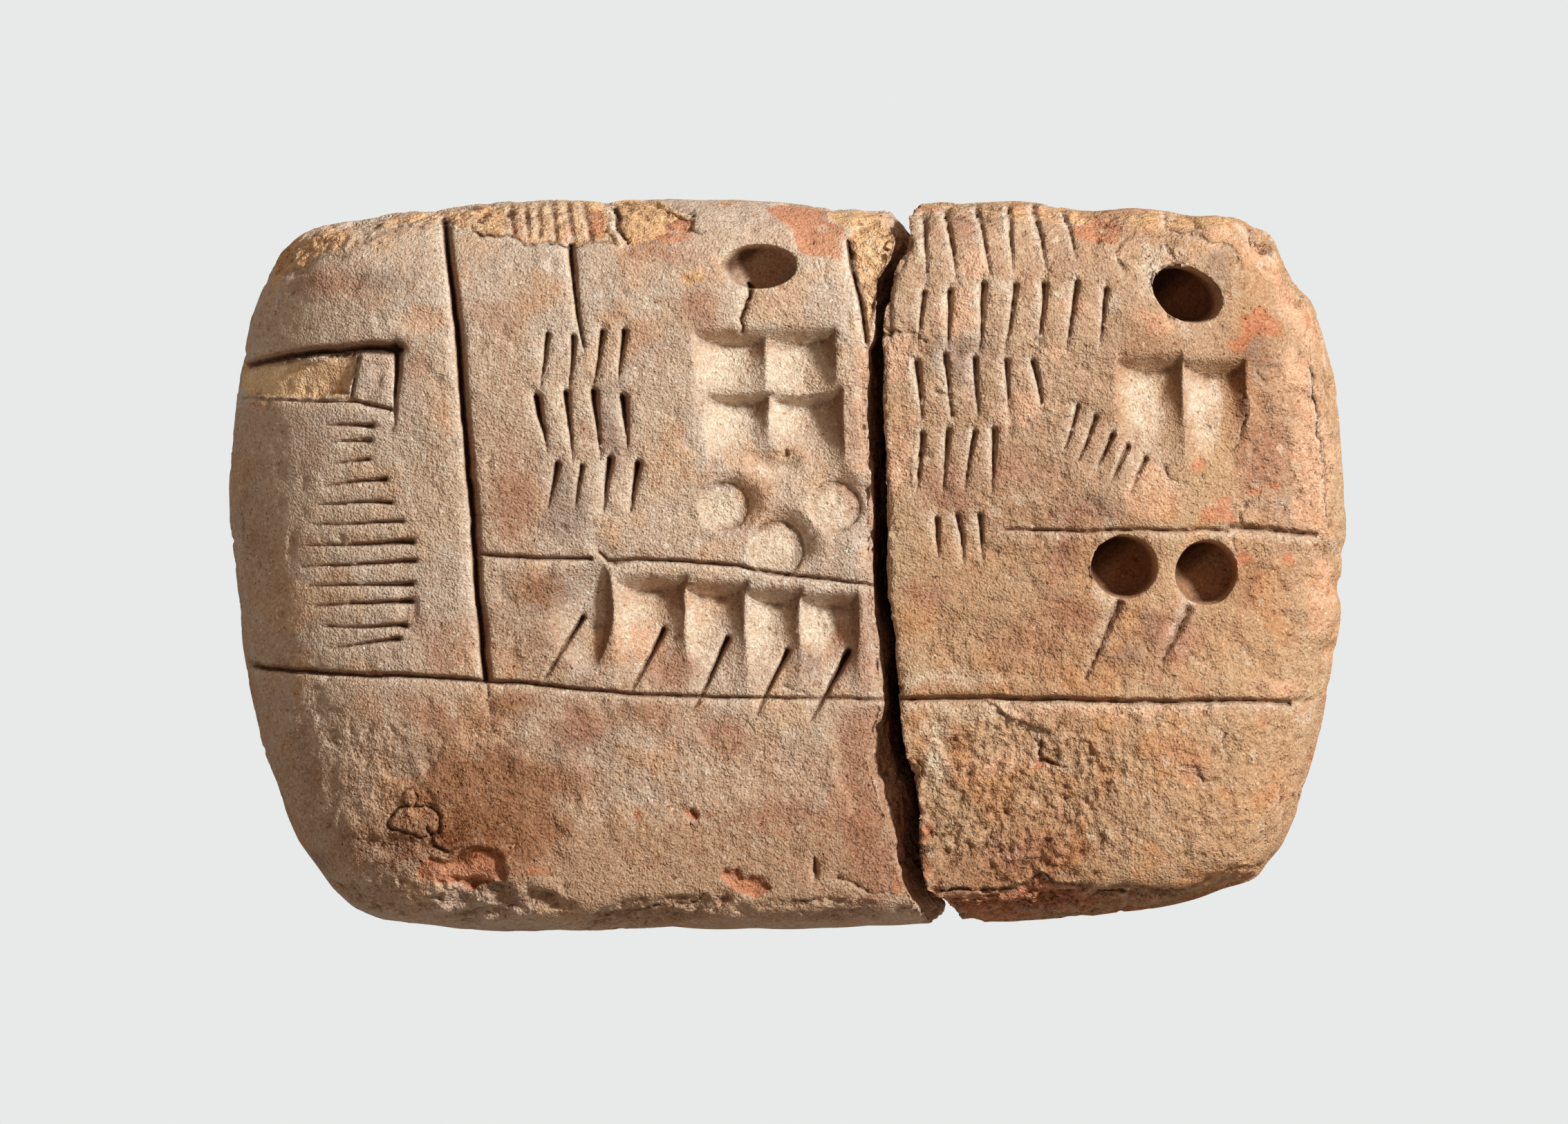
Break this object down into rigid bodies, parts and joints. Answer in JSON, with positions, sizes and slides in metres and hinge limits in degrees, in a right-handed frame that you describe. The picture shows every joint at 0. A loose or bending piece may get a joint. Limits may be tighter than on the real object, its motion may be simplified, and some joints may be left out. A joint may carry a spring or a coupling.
{
  "type": "clay tablet",
  "caption": "Small rounded clay account tablet, ruled into cases and pressed with a stylus, broken across into a large and a small fragment.",
  "frame": {"origin": "middle of the tablet's footprint, on the surface it lies on", "axes": "+X along the tablet's length, from the large fragment to the small one; +Y across it, towards the edge with the round holes; +Z out of the pressed face"},
  "size_m": [0.068, 0.0448, 0.016],
  "materials": {
    "clay": "matte",
    "warm_clay": "matte"
  },
  "bodies": {
    "root": {"large_fragment": "clay", "small_fragment": "warm_clay"}
  },
  "joints": []
}
